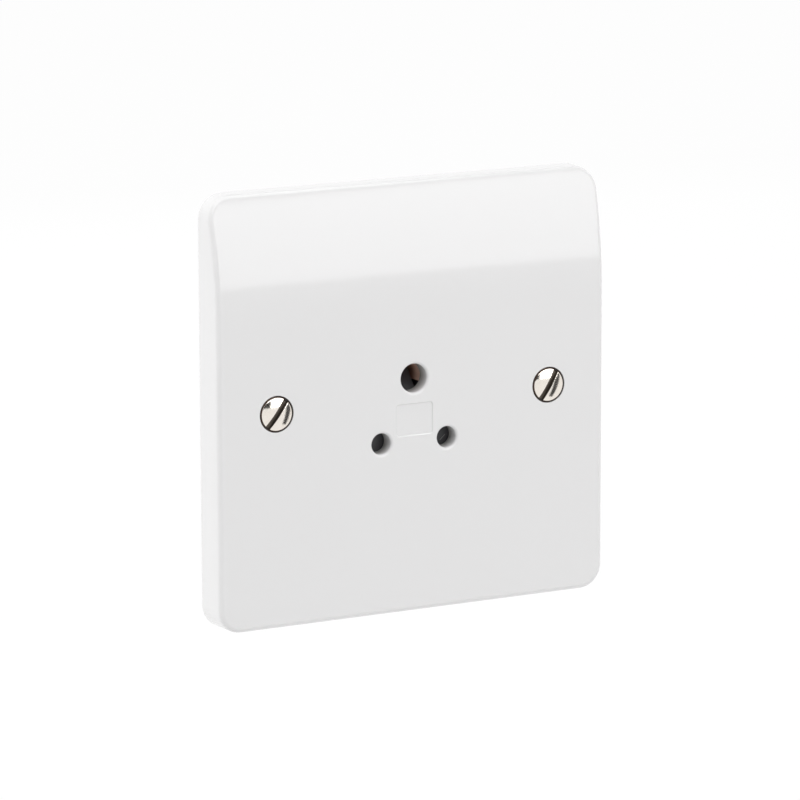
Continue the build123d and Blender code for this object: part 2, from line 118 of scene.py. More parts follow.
# Skins of the materials: detail of each noise, and how far streaks are drawn out along X
FLOW_DETAIL = 3
GRAIN_DETAIL = 2
PATCH_DETAIL = 4
STREAK_DETAIL = 2
STREAK_SQUEEZE = (0.12, 1, 1)
FLOAT = "NodeSocketFloat"
COLOUR = "NodeSocketColor"
VECTOR = "NodeSocketVector"
SKIN_OUTPUTS = (("Colour", COLOUR), ("Roughness", FLOAT), ("Normal", VECTOR))
MASK_OUTPUTS = (("Mask", FLOAT),)

# Fixing screws
FIXING_CENTRES = 60.3 * MM
FIXING_HEAD_RADIUS = 3.5 * MM
FIXING_RIM_RADIUS = 3.42 * MM
FIXING_RIM_DROP = 0.1 * MM
FIXING_DOME_RADIUS = 3.22 * MM
FIXING_DOME_SPHERE = 13.0 * MM
FIXING_DOME_EDGE = 7.52 * MM
FIXING_NECK = 1.55 * MM
FIXING_CORE = 1.4 * MM
FIXING_THREAD = 1.75 * MM
FIXING_PITCH = 0.6 * MM
FIXING_SLOT = 1.12 * MM
FIXING_SLOT_DEPTH = 1.0 * MM
FIXING_SLOT_ANGLES = {"left": 52.0, "right": 58.0}
FIXING_EDGE = 0.07 * MM
FIXING_SHARP = 40
# finishes of the head: plating, dark tarnish with painted shade at the rim, dirt with painted shade
# in the slot
FIXING_FINISHES = ("nickel_plate", "tarnished_and_shaded_edge", "dirty_and_shaded_slot")
PLATED, TARNISHED_AND_SHADED, DIRTY_AND_SHADED = range(len(FIXING_FINISHES))

# Screws that hold the rear housing
HOUSING_HEAD_RADIUS = 2.6 * MM
HOUSING_HEAD_HEIGHT = 1.6 * MM
HOUSING_HEAD_SPHERE = 4.6 * MM
HOUSING_HEAD_ROLL = 0.55 * MM
HOUSING_CORE = 1.05 * MM
HOUSING_THREAD = 1.45 * MM
HOUSING_PITCH = 1.1 * MM
HOUSING_HEAD_STEPS = 64
HOUSING_THREAD_STEPS = 32
CROSS_WIDTH = 0.8 * MM
CROSS_SPAN = 3.0 * MM
CROSS_DEPTH = 0.9 * MM
CROSS_TAPER = 0.72

# Terminal screws
TERMINAL_HEAD_RADIUS = 2.5 * MM
TERMINAL_HEAD_HEIGHT = 1.9 * MM
TERMINAL_HEAD_EDGE = 0.3 * MM
TERMINAL_CORE = 1.35 * MM
TERMINAL_THREAD = 1.65 * MM
TERMINAL_PITCH = 0.6 * MM
TERMINAL_RUN_OUT = 0.3 * MM
TERMINAL_SLOT = 0.8 * MM
TERMINAL_SLOT_DEPTH = 1.0 * MM
TERMINAL_SLOT_ANGLE = 35.0
TERMINAL_HEAD_STEPS = 72

# Shape of one turn of a thread, as shares of its pitch
THREAD_ROOT_END = 0.2
THREAD_CREST_START = 0.45
THREAD_CREST_END = 0.55
THREAD_NEXT_ROOT = 0.8

# Springs
SHUTTER_WIRE = 0.35 * MM
SHUTTER_COIL = 1.3 * MM
SHUTTER_TURNS = 7
DEAD_TURNS = 1
RING_WIRE = 0.7 * MM
RING_OPENINGS = {"line": 40.0, "neutral": 40.0, "earth": 140.0}

# Marks that stand up from the back of the housing
HOUSING_BACK = 15.0 * MM
MARK_HEIGHT = 2.4 * MM
MARK_STROKE = 0.42 * MM
MARK_RELIEF = 0.2 * MM
LINE_STROKES = ((0, 1, 0, 0), (0, 0, 0.6, 0))
NEUTRAL_STROKES = ((0, 0, 0, 1), (0, 1, 0.7, 0), (0.7, 0, 0.7, 1))
EARTH_STROKES = (
    (0, 0.9, 0, 0.4),
    (-0.45, 0.4, 0.45, 0.4),
    (-0.28, 0.1, 0.28, 0.1),
    (-0.11, -0.2, 0.11, -0.2),
)
POLE_MARKS = {
    "line": (LINE_STROKES, 10.2 * MM, -9.5 * MM),
    "neutral": (NEUTRAL_STROKES, -8.6 * MM, -9.5 * MM),
    "earth": (EARTH_STROKES, 0.0, 6.6 * MM),
}

# Fineness of the meshes
LATHE_STEPS = 96
THREAD_STEPS = 36
COIL_STEPS = 40
RING_STEPS = 64
COIL_WIRE_SIDES = 14
RING_WIRE_SIDES = 16
EJECTOR_SIDES = 48
FLOOR_SIDES = 96
DOME_STEPS = 16
ROLL_STEPS = 6
CORNER_STEPS = 5
BEVEL_STEPS = 2
WELD = 0.001 * MM
SMOOTH_BELOW = 32
WIRE_SMOOTH_BELOW = 50


def node_group(name, inputs, outputs):
    """An empty shader group with its named sockets, and its two end nodes."""
    group = bpy.data.node_groups.new(name, "ShaderNodeTree")
    for label, kind in inputs:
        group.interface.new_socket(label, in_out="INPUT", socket_type=kind)
    for label, kind in outputs:
        group.interface.new_socket(label, in_out="OUTPUT", socket_type=kind)
    start = group.nodes.new("NodeGroupInput")
    end = group.nodes.new("NodeGroupOutput")
    return group, start, end


def add_group(tree, group, settings):
    """A shader group in a material's tree, with its values set."""
    node = tree.nodes.new("ShaderNodeGroup")
    node.node_tree = group
    for label, value in settings.items():
        node.inputs[label].default_value = value
    return node


def calculate(tree, operation, *values):
    """The result of a Math node, whose inputs are numbers or sockets."""
    node = tree.nodes.new("ShaderNodeMath")
    node.operation = operation
    for socket, value in zip(node.inputs, values):
        if isinstance(value, (int, float)):
            socket.default_value = value
        else:
            tree.links.new(value, socket)
    return node.outputs[0]


def fade(tree, value, start, end):
    """A value that rises smoothly from 0 at one reading to 1 at another."""
    node = tree.nodes.new("ShaderNodeMapRange")
    node.interpolation_type = "SMOOTHSTEP"
    tree.links.new(value, node.inputs["Value"])
    node.inputs["From Min"].default_value = start
    node.inputs["From Max"].default_value = end
    return node.outputs["Result"]


def blend_colours(tree, share, first, second):
    """A colour that goes from the first to the second as the share goes from 0 to 1."""
    node = tree.nodes.new("ShaderNodeMix")
    node.data_type = "RGBA"
    for label, value in (("Factor", share), ("A", first), ("B", second)):
        socket = next(s for s in node.inputs if s.name == label and s.enabled)
        if isinstance(value, tuple):
            socket.default_value = value
        else:
            tree.links.new(value, socket)
    return next(s for s in node.outputs if s.enabled)


def object_axes(tree):
    """The X, Y and Z of a point in the frame of the part."""
    place = tree.nodes.new("ShaderNodeTexCoord")
    axes = tree.nodes.new("ShaderNodeSeparateXYZ")
    tree.links.new(place.outputs["Object"], axes.inputs[0])
    return axes.outputs


def place_noise(tree, scale, detail, squeeze=(1, 1, 1)):
    """A noise value on object coordinates, drawn out along an axis by a squeeze below 1."""
    place = tree.nodes.new("ShaderNodeTexCoord")
    shaped = tree.nodes.new("ShaderNodeMapping")
    shaped.inputs["Scale"].default_value = squeeze
    noise = tree.nodes.new("ShaderNodeTexNoise")
    noise.inputs["Detail"].default_value = detail
    tree.links.new(place.outputs["Object"], shaped.inputs["Vector"])
    tree.links.new(shaped.outputs["Vector"], noise.inputs["Vector"])
    tree.links.new(scale, noise.inputs["Scale"])
    return noise.outputs["Fac"]


def swing(tree, value, middle, width):
    """A value that swings about a middle by a width as a noise goes from 0 to 1."""
    centred = calculate(tree, "SUBTRACT", value, 0.5)
    return calculate(tree, "MULTIPLY_ADD", centred, width, middle)


def end_skin(group, end, colour, roughness, relief, height):
    """Gives a skin's group its colour, its roughness and the bump of a relief."""
    bump = group.nodes.new("ShaderNodeBump")
    group.links.new(relief, bump.inputs["Height"])
    group.links.new(height, bump.inputs["Distance"])
    group.links.new(colour, end.inputs["Colour"])
    group.links.new(roughness, end.inputs["Roughness"])
    group.links.new(bump.outputs["Normal"], end.inputs["Normal"])


def make_moulded_skin():
    """Skin of a plastic moulding: faint flow tones, uneven gloss and the grain of the mould."""
    inputs = (
        ("Colour", COLOUR),
        ("Tone", FLOAT),
        ("Flow Size", FLOAT),
        ("Gloss", FLOAT),
        ("Gloss Spread", FLOAT),
        ("Grain Size", FLOAT),
        ("Grain Height", FLOAT),
    )
    group, start, end = node_group("moulded_skin", inputs, SKIN_OUTPUTS)
    flow = place_noise(group, start.outputs["Flow Size"], FLOW_DETAIL)
    grain = place_noise(group, start.outputs["Grain Size"], GRAIN_DETAIL)
    tinted = group.nodes.new("ShaderNodeVectorMath")
    tinted.operation = "SCALE"
    group.links.new(start.outputs["Colour"], tinted.inputs[0])
    group.links.new(swing(group, flow, 1.0, start.outputs["Tone"]), tinted.inputs["Scale"])
    rough = swing(group, flow, start.outputs["Gloss"], start.outputs["Gloss Spread"])
    end_skin(group, end, tinted.outputs[0], rough, grain, start.outputs["Grain Height"])
    return group


def make_worked_metal():
    """Skin of a rolled, drawn or plated metal: fine streaks and a patchy film on top."""
    inputs = (
        ("Colour", COLOUR),
        ("Film Colour", COLOUR),
        ("Film", FLOAT),
        ("Patch Size", FLOAT),
        ("Gloss", FLOAT),
        ("Gloss Spread", FLOAT),
        ("Streak Size", FLOAT),
        ("Streak Height", FLOAT),
    )
    group, start, end = node_group("worked_metal", inputs, SKIN_OUTPUTS)
    patches = place_noise(group, start.outputs["Patch Size"], PATCH_DETAIL)
    amount = calculate(group, "MULTIPLY", patches, start.outputs["Film"])
    film = blend_colours(group, amount, start.outputs["Colour"], start.outputs["Film Colour"])
    rough = swing(group, patches, start.outputs["Gloss"], start.outputs["Gloss Spread"])
    streaks = place_noise(group, start.outputs["Streak Size"], STREAK_DETAIL, STREAK_SQUEEZE)
    end_skin(group, end, film, rough, streaks, start.outputs["Streak Height"])
    return group


def make_hole_shade():
    """Mask of painted shade inside a round hole in the plate, stronger with the depth."""
    inputs = (
        ("Middle X", FLOAT),
        ("Middle Z", FLOAT),
        ("Hole Radius", FLOAT),
        ("Full Depth", FLOAT),
        ("Hole Depth", FLOAT),
    )
    group, start, end = node_group("hole_painted_shade", inputs, MASK_OUTPUTS)
    axes = object_axes(group)
    across = calculate(group, "SUBTRACT", axes["X"], start.outputs["Middle X"])
    up = calculate(group, "SUBTRACT", axes["Z"], start.outputs["Middle Z"])
    across_squared = calculate(group, "MULTIPLY", across, across)
    reach = calculate(group, "SQRT", calculate(group, "MULTIPLY_ADD", up, up, across_squared))
    inside = calculate(group, "LESS_THAN", reach, start.outputs["Hole Radius"])
    depth = calculate(group, "ADD", axes["Y"], PLATE_DEPTH)
    share = calculate(group, "DIVIDE", depth, start.outputs["Full Depth"])
    deep = fade(group, share, SHADE_START, 1.0)
    before_end = calculate(group, "LESS_THAN", depth, start.outputs["Hole Depth"])
    within = calculate(group, "MULTIPLY", inside, before_end)
    group.links.new(calculate(group, "MULTIPLY", within, deep), end.inputs["Mask"])
    return group


def make_streak_mask():
    """Mask of one short straight line, from its middle, direction, length and width."""
    inputs = (
        ("Middle X", FLOAT),
        ("Middle Z", FLOAT),
        ("Angle", FLOAT),
        ("Half Length", FLOAT),
        ("Half Width", FLOAT),
    )
    group, start, end = node_group("painted_highlight_streak", inputs, MASK_OUTPUTS)
    axes = object_axes(group)
    across = calculate(group, "SUBTRACT", axes["X"], start.outputs["Middle X"])
    up = calculate(group, "SUBTRACT", axes["Z"], start.outputs["Middle Z"])
    cosine = calculate(group, "COSINE", start.outputs["Angle"])
    sine = calculate(group, "SINE", start.outputs["Angle"])
    along = calculate(group, "MULTIPLY_ADD", up, sine, calculate(group, "MULTIPLY", across, cosine))
    sideways = calculate(group, "MULTIPLY", across, sine)
    aside = calculate(group, "SUBTRACT", calculate(group, "MULTIPLY", up, cosine), sideways)
    length = calculate(group, "ABSOLUTE", along)
    width = calculate(group, "ABSOLUTE", aside)
    in_length = calculate(group, "LESS_THAN", length, start.outputs["Half Length"])
    in_width = calculate(group, "LESS_THAN", width, start.outputs["Half Width"])
    group.links.new(calculate(group, "MULTIPLY", in_length, in_width), end.inputs["Mask"])
    return group


def finish_from(name, group, settings, **shader_values):
    """A material whose skin comes from a group, with its constants on the shader itself."""
    material = bpy.data.materials.new(name)
    material.use_nodes = True
    tree = material.node_tree
    shader = tree.nodes["Principled BSDF"]
    for label, value in shader_values.items():
        shader.inputs[label.replace("_", " ")].default_value = value
    skin = add_group(tree, group, settings)
    tree.links.new(skin.outputs["Colour"], shader.inputs["Base Color"])
    tree.links.new(skin.outputs["Roughness"], shader.inputs["Roughness"])
    tree.links.new(skin.outputs["Normal"], shader.inputs["Normal"])
    return material


def colour_socket(material):
    """The tree of a finish, the socket of its colour, and the socket that feeds it."""
    tree = material.node_tree
    socket = tree.nodes["Principled BSDF"].inputs["Base Color"]
    return tree, socket, socket.links[0].from_socket


def shaded_colour(tree, colour, shade_mask_group, holes, full_depth, hole_depth, strength, shade_colour):
    """A colour with painted shade in some holes of one depth, each given as (x, z, radius)."""
    amount = 0.0
    for x, z, radius in holes:
        places = {
            "Middle X": x,
            "Middle Z": z,
            "Hole Radius": radius + HOLE_MARGIN,
            "Full Depth": full_depth,
            "Hole Depth": hole_depth + HOLE_MARGIN,
        }
        mask = add_group(tree, shade_mask_group, places).outputs["Mask"]
        amount = calculate(tree, "MULTIPLY_ADD", mask, strength, amount)
    return blend_colours(tree, amount, colour, shade_colour)


def darken_holes(material):
    """Paints shade, darker with depth, into the three pin holes and the two countersinks of the
    white moulding.
    """
    tree, socket, unpainted = colour_socket(material)
    shade_mask_group = make_hole_shade()
    pin_holes = (
        (PIN_X, PIN_ROW, LIVE_HOLE),
        (-PIN_X, PIN_ROW, LIVE_HOLE),
        (0.0, EARTH_ROW, EARTH_HOLE),
    )
    screw_x = FIXING_CENTRES / 2
    countersinks = [(side * screw_x, 0.0, COUNTERSINK_RADIUS) for side in SIDES.values()]
    # painted shade inside the pin holes, darker with depth
    colour = shaded_colour(
        tree, unpainted, shade_mask_group, pin_holes, PIN_WALL, PIN_WALL, PIN_HOLE_SHADE_STRENGTH, PIN_HOLE_SHADE
    )
    # painted shade on the countersink walls around the screw heads
    colour = shaded_colour(
        tree,
        colour,
        shade_mask_group,
        countersinks,
        COUNTERSINK_FULL_SHADE,
        COUNTERSINK_DEPTH,
        COUNTERSINK_SHADE_STRENGTH,
        COUNTERSINK_SHADE,
    )
    tree.links.new(colour, socket)


def shade_sleeves_inward(material):
    """Paints shade on the bronze sleeves, growing darker and browner from their mouths inward."""
    tree, socket, unpainted = colour_socket(material)
    depth = calculate(tree, "ADD", object_axes(tree)["Y"], SLEEVE_MOUTH)
    share = calculate(tree, "DIVIDE", depth, SLEEVE_SHADE_RAMP)
    inward = fade(tree, share, SLEEVE_UNSHADED_SHARE, 1.0)
    sleeve_shade_amount = calculate(tree, "MULTIPLY", inward, SLEEVE_SHADE_STRENGTH)
    # painted shade that deepens inside the sleeve
    tree.links.new(blend_colours(tree, sleeve_shade_amount, unpainted, SLEEVE_SHADE), socket)


def paint_shutter_highlight(material):
    """Paints a short light highlight line on the shutter behind the line hole."""
    tree, socket, unpainted = colour_socket(material)
    places = {
        "Middle X": SHUTTER_HIGHLIGHT_X,
        "Middle Z": SHUTTER_HIGHLIGHT_ROW,
        "Angle": SHUTTER_HIGHLIGHT_ANGLE,
        "Half Length": SHUTTER_HIGHLIGHT_HALF_LENGTH,
        "Half Width": SHUTTER_HIGHLIGHT_HALF_WIDTH,
    }
    highlight_mask = add_group(tree, make_streak_mask(), places).outputs["Mask"]
    # a painted highlight line on the dark shutter
    tree.links.new(blend_colours(tree, highlight_mask, unpainted, SHUTTER_HIGHLIGHT_COLOUR), socket)


def make_materials():
    """Every finish of the socket, by its name."""
    moulded = make_moulded_skin()
    metal = make_worked_metal()
    white_moulding = finish_from(
        "white_moulding",
        moulded,
        {
            "Colour": (0.768, 0.765, 0.766, 1),
            "Tone": 0.012,
            "Flow Size": 45.0,
            "Gloss": 0.09,
            "Gloss Spread": 0.02,
            "Grain Size": 160.0,
            "Grain Height": 0.0006 * MM,
        },
        IOR=1.5,
    )
    black_moulding = finish_from(
        "black_moulding",
        moulded,
        {
            "Colour": (0.022, 0.022, 0.024, 1),
            "Tone": 0.25,
            "Flow Size": 120.0,
            "Gloss": 0.42,
            "Gloss Spread": 0.12,
            "Grain Size": 2600.0,
            "Grain Height": 0.02 * MM,
        },
        IOR=1.5,
    )
    shutter_moulding = finish_from(
        "shutter_moulding",
        moulded,
        {
            "Colour": (0.034, 0.034, 0.037, 1),
            "Tone": 0.35,
            "Flow Size": 900.0,
            "Gloss": 0.4,
            "Gloss Spread": 0.15,
            "Grain Size": 2400.0,
            "Grain Height": 0.02 * MM,
        },
        IOR=1.48,
    )
    contact_metal = finish_from(
        "contact_metal",
        metal,
        {
            "Colour": (0.98, 0.70, 0.58, 1),
            "Film Colour": (0.72, 0.42, 0.30, 1),
            "Film": 0.3,
            "Patch Size": 420.0,
            "Gloss": 0.42,
            "Gloss Spread": 0.16,
            "Streak Size": 6000.0,
            "Streak Height": 0.003 * MM,
        },
        Metallic=0.35,
    )
    terminal_brass = finish_from(
        "terminal_brass",
        metal,
        {
            "Colour": (0.83, 0.62, 0.31, 1),
            "Film Colour": (0.52, 0.33, 0.13, 1),
            "Film": 0.45,
            "Patch Size": 300.0,
            "Gloss": 0.22,
            "Gloss Spread": 0.1,
            "Streak Size": 5000.0,
            "Streak Height": 0.004 * MM,
        },
        Metallic=1.0,
    )
    nickel_plate = finish_from(
        "nickel_plate",
        metal,
        {
            "Colour": (0.87, 0.825, 0.765, 1),
            "Film Colour": (0.62, 0.53, 0.42, 1),
            "Film": 0.3,
            "Patch Size": 700.0,
            "Gloss": 0.1,
            "Gloss Spread": 0.06,
            "Streak Size": 3000.0,
            "Streak Height": 0.0016 * MM,
        },
        Metallic=1.0,
    )
    # dark tarnish with painted shade, for the rim of the screw heads where they sit in the
    # countersinks
    tarnished_and_shaded_edge = finish_from(
        "tarnished_and_shaded_edge",
        metal,
        {
            "Colour": (0.085, 0.06, 0.048, 1),
            "Film Colour": (0.03, 0.02, 0.016, 1),
            "Film": 0.9,
            "Patch Size": 900.0,
            "Gloss": 0.38,
            "Gloss Spread": 0.2,
            "Streak Size": 4000.0,
            "Streak Height": 0.004 * MM,
        },
        Metallic=1.0,
    )
    # dirt with painted shade, for the slots of the screw heads
    dirty_and_shaded_slot = finish_from(
        "dirty_and_shaded_slot",
        metal,
        {
            "Colour": (0.19, 0.165, 0.135, 1),
            "Film Colour": (0.045, 0.032, 0.025, 1),
            "Film": 0.9,
            "Patch Size": 1500.0,
            "Gloss": 0.5,
            "Gloss Spread": 0.2,
            "Streak Size": 4000.0,
            "Streak Height": 0.006 * MM,
        },
        Metallic=0.8,
    )
    zinc_plate = finish_from(
        "zinc_plate",
        metal,
        {
            "Colour": (0.74, 0.76, 0.78, 1),
            "Film Colour": (0.55, 0.58, 0.62, 1),
            "Film": 0.6,
            "Patch Size": 600.0,
            "Gloss": 0.26,
            "Gloss Spread": 0.12,
            "Streak Size": 4000.0,
            "Streak Height": 0.002 * MM,
        },
        Metallic=1.0,
    )
    spring_steel = finish_from(
        "spring_steel",
        metal,
        {
            "Colour": (0.56, 0.56, 0.57, 1),
            "Film Colour": (0.3, 0.29, 0.28, 1),
            "Film": 0.4,
            "Patch Size": 700.0,
            "Gloss": 0.24,
            "Gloss Spread": 0.08,
            "Streak Size": 5000.0,
            "Streak Height": 0.002 * MM,
        },
        Metallic=1.0,
    )
    darken_holes(white_moulding)
    shade_sleeves_inward(contact_metal)
    paint_shutter_highlight(shutter_moulding)
    return {
        "white_moulding": white_moulding,
        "black_moulding": black_moulding,
        "shutter_moulding": shutter_moulding,
        "contact_metal": contact_metal,
        "terminal_brass": terminal_brass,
        "nickel_plate": nickel_plate,
        "tarnished_and_shaded_edge": tarnished_and_shaded_edge,
        "dirty_and_shaded_slot": dirty_and_shaded_slot,
        "zinc_plate": zinc_plate,
        "spring_steel": spring_steel,
    }


def mesh_from(name, bm):
    """A mesh with the faces of a bmesh, which is used up."""
    mesh = bpy.data.meshes.new(name)
    bm.to_mesh(mesh)
    bm.free()
    return mesh


def add_object(name, data):
    """An object at the origin of the scene, with its mesh, lamp or camera."""
    thing = bpy.data.objects.new(name, data)
    bpy.context.scene.collection.objects.link(thing)
    return thing


def shade_round(bm, limit=SMOOTH_BELOW):
    """Smooths every edge whose faces meet at less than a limit, and keeps the others sharp."""
    for face in bm.faces:
        face.smooth = True
    for edge in bm.edges:
        joined = len(edge.link_faces) == 2
        edge.smooth = joined and edge.calc_face_angle() < math.radians(limit)


def add_piece(name, bm, finishes, nodes=(), body="socket"):
    """Makes a bmesh a piece of the object that rides on a body and stands for some CAD nodes."""
    mesh = mesh_from(name, bm)
    for finish in finishes:
        mesh.materials.append(finish)
    piece = add_object(name, mesh)
    even = piece.modifiers.new("even_shading", "WEIGHTED_NORMAL")
    even.keep_sharp = True
    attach(piece, body)
    if nodes:
        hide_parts(*nodes)
    return piece


def merged_copy(node):
    """A bmesh of a CAD node with its loose triangles joined."""
    bm = bmesh.new()
    bm.from_mesh(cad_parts[node].data)
    bmesh.ops.remove_doubles(bm, verts=bm.verts, dist=WELD)
    return bm


def dress_node(node, name, finish, body="socket"):
    """Swaps a CAD node for the same shape with smooth round faces and its own finish."""
    bm = merged_copy(node)
    shade_round(bm)
    return add_piece(name, bm, [finish], [node], body)


def lathe(points, steps=LATHE_STEPS):
    """A turned bmesh about the Z axis, from (radius, height) points that start and end on it."""
    bm = bmesh.new()
    verts = [bm.verts.new((radius, 0, height)) for radius, height in points]
    edges = [bm.edges.new(pair) for pair in zip(verts, verts[1:])]
    bmesh.ops.spin(
        bm,
        geom=verts + edges,
        axis=(0, 0, 1),
        angle=2 * math.pi,
        steps=steps,
        use_merge=True,
    )
    bmesh.ops.remove_doubles(bm, verts=bm.verts, dist=WELD)
    bmesh.ops.recalc_face_normals(bm, faces=bm.faces)
    return bm


def threaded_shank(core, crest, pitch, low, high, steps=THREAD_STEPS):
    """A right-hand thread about the Z axis between two heights, left open at its low end."""
    bm = bmesh.new()
    turns = math.ceil((high - low) / pitch) + 2
    shape = (
        (core, 0.0),
        (core, THREAD_ROOT_END),
        (crest, THREAD_CREST_START),
        (crest, THREAD_CREST_END),
        (core, THREAD_NEXT_ROOT),
    )
    verts = [
        bm.verts.new((radius, 0, low + (turn - 1 + share) * pitch))
        for turn in range(turns)
        for radius, share in shape
    ]
    verts.append(bm.verts.new((core, 0, low + (turns - 1) * pitch)))
    edges = [bm.edges.new(pair) for pair in zip(verts, verts[1:])]
    bmesh.ops.spin(
        bm,
        geom=verts + edges,
        axis=(0, 0, 1),
        dvec=(0, 0, pitch / steps),
        angle=2 * math.pi,
        steps=steps,
    )
    bmesh.ops.remove_doubles(bm, verts=bm.verts, dist=WELD)
    for height, facing in ((low, -1), (high, 1)):
        cut = bmesh.ops.bisect_plane(
            bm,
            geom=bm.verts[:] + bm.edges[:] + bm.faces[:],
            plane_co=(0, 0, height),
            plane_no=(0, 0, facing),
            clear_outer=True,
        )
        rim = [part for part in cut["geom_cut"] if isinstance(part, bmesh.types.BMEdge)]
        bmesh.ops.edgeloop_fill(bm, edges=rim)
    bmesh.ops.recalc_face_normals(bm, faces=bm.faces)
    return bm


def taper_tip(bm, tip, depth, radius):
    """Draws the end of a shank in to a cone, from its full radius down to the tip's."""
    for vert in bm.verts:
        allowed = radius + (vert.co.z - tip)
        reach = vert.co.xy.length
        if vert.co.z < tip + depth and reach > allowed:
            vert.co.xy *= allowed / reach


def block(width, depth, height, middle=(0, 0, 0), turn=0.0):
    """A bmesh of a plain block, used as a cutter or a stroke of a mark."""
    bm = bmesh.new()
    size = Matrix.Diagonal((width, depth, height, 1))
    bmesh.ops.create_cube(bm, size=1, matrix=size)
    bmesh.ops.rotate(bm, verts=bm.verts, matrix=Matrix.Rotation(math.radians(turn), 3, "Z"))
    bmesh.ops.translate(bm, verts=bm.verts, vec=middle)
    return bm


def gather(parts):
    """One bmesh with the faces of several, which are used up."""
    whole = bmesh.new()
    for part in parts:
        mesh = mesh_from("gathered", part)
        whole.from_mesh(mesh)
        bpy.data.meshes.remove(mesh)
    return whole


def combine(bm, other, operation="DIFFERENCE"):
    """The bmesh less another or with it, both of which are used up."""
    target, tool = [add_object("workpiece", mesh_from("workpiece", part)) for part in (bm, other)]
    change = target.modifiers.new("combine", "BOOLEAN")
    change.operation = operation
    change.solver = "EXACT"
    change.object = tool
    bpy.context.view_layer.update()
    done = target.evaluated_get(bpy.context.evaluated_depsgraph_get())
    result = bmesh.new()
    result.from_mesh(done.to_mesh())
    done.to_mesh_clear()
    for used in (target, tool):
        bpy.data.objects.remove(used)
    bmesh.ops.remove_doubles(result, verts=result.verts, dist=WELD)
    return result


def ease_edges(bm, width, sharper_than, above):
    """Rounds the sharp edges of a bmesh that lie above a height, as tumbling leaves them."""
    sharp = [
        edge
        for edge in bm.edges
        if len(edge.link_faces) == 2
        and edge.calc_face_angle() > math.radians(sharper_than)
        and min(vert.co.z for vert in edge.verts) > above
    ]
    bmesh.ops.bevel(
        bm,
        geom=sharp,
        offset=width,
        segments=BEVEL_STEPS,
        affect="EDGES",
        profile=0.5,
        material=-1,
        clamp_overlap=True,
    )


def stand(bm, place, out=(0, -1, 0)):
    """Moves a turned bmesh so that its Z axis points out of the wall, at a place (x, y, z)."""
    aim = Vector((0, 0, 1)).rotation_difference(Vector(out)).to_matrix().to_4x4()
    bmesh.ops.transform(bm, matrix=Matrix.Translation(place) @ aim, verts=bm.verts)


def even_angles(full, steps):
    """The angles from 0 to a full angle, in even steps."""
    return [full * step / steps for step in range(steps + 1)]


def cap_outline(radius, sphere, top):
    """Half outline of a cap cut from a sphere, from its pole out to a radius."""
    slopes = even_angles(math.asin(radius / sphere), DOME_STEPS)
    return [(sphere * math.sin(a), top - sphere * (1 - math.cos(a))) for a in slopes]


def domed_head(dome_radius, sphere, head_radius, top):
    """Half outline of a domed head whose edge rolls over to upright, from its middle out."""
    points = cap_outline(dome_radius, sphere, top)
    start = math.asin(dome_radius / sphere)
    edge_top = points[-1][1]
    roll = (head_radius - dome_radius) / (1 - math.sin(start))
    for further in even_angles(math.pi / 2 - start, ROLL_STEPS)[1:]:
        a = start + further
        points.append((
            dome_radius + roll * (math.sin(a) - math.sin(start)),
            edge_top - roll * (math.cos(start) - math.cos(a)),
        ))
    return points


def surface_drop(radius, sphere):
    """How far a sphere's surface falls away at a radius from its pole."""
    return sphere - math.sqrt(sphere**2 - min(radius, sphere) ** 2)


def make_fixing_screw(side, finishes):
    """A raised countersunk screw with a slot and a full thread; the head's rim is dark tarnish with
    painted shade, and the slot dirt with painted shade.
    """
    node = f"fixing_screw_{side}"
    tip = -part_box(node)[1].y
    top = FIXING_DOME_EDGE + surface_drop(FIXING_DOME_RADIUS, FIXING_DOME_SPHERE)
    rim = FIXING_DOME_EDGE - FIXING_RIM_DROP
    seat = rim - (FIXING_HEAD_RADIUS - FIXING_RIM_RADIUS)
    slot_floor = top - FIXING_SLOT_DEPTH
    slot_angle = FIXING_SLOT_ANGLES[side]
    profile = cap_outline(FIXING_DOME_RADIUS, FIXING_DOME_SPHERE, top)
    profile += [
        (FIXING_RIM_RADIUS, rim),
        (FIXING_HEAD_RADIUS, seat),
        (FIXING_NECK, seat - (FIXING_HEAD_RADIUS - FIXING_NECK)),
        (FIXING_NECK, 0.0),
        (0.0, 0.0),
    ]
    cutter = block(
        4 * FIXING_HEAD_RADIUS,
        FIXING_SLOT,
        2 * FIXING_HEAD_RADIUS,
        (0, 0, slot_floor + FIXING_HEAD_RADIUS),
        slot_angle,
    )
    head = combine(lathe(profile), cutter)
    ease_edges(head, FIXING_EDGE, FIXING_SHARP, slot_floor + WELD)
    turn = math.radians(slot_angle)
    along = Vector((math.cos(turn), math.sin(turn)))
    for face in head.faces:
        middle = face.calc_center_median()
        radius = middle.xy.length
        sunk = top - middle.z - surface_drop(radius, FIXING_DOME_SPHERE)
        from_slot = abs(along.cross(middle.xy))
        if radius < FIXING_DOME_RADIUS and sunk < 1.5 * FIXING_EDGE:
            face.material_index = PLATED
        elif from_slot < FIXING_SLOT / 2 + WELD and middle.z > slot_floor - WELD:
            # faces of the slot: dirt with painted shade
            face.material_index = DIRTY_AND_SHADED
        elif middle.z > seat - FIXING_NECK:
            # rim and underside of the head: dark tarnish with painted shade
            face.material_index = TARNISHED_AND_SHADED
    shank = threaded_shank(FIXING_CORE, FIXING_THREAD, FIXING_PITCH, tip, FIXING_EDGE)
    taper_tip(shank, tip, FIXING_PITCH, FIXING_THREAD - FIXING_PITCH)
    screw = gather([head, shank])
    shade_round(screw)
    stand(screw, (SIDES[side] * FIXING_CENTRES / 2, 0, 0))
    return add_piece(f"{node}_threaded", screw, finishes, [node])


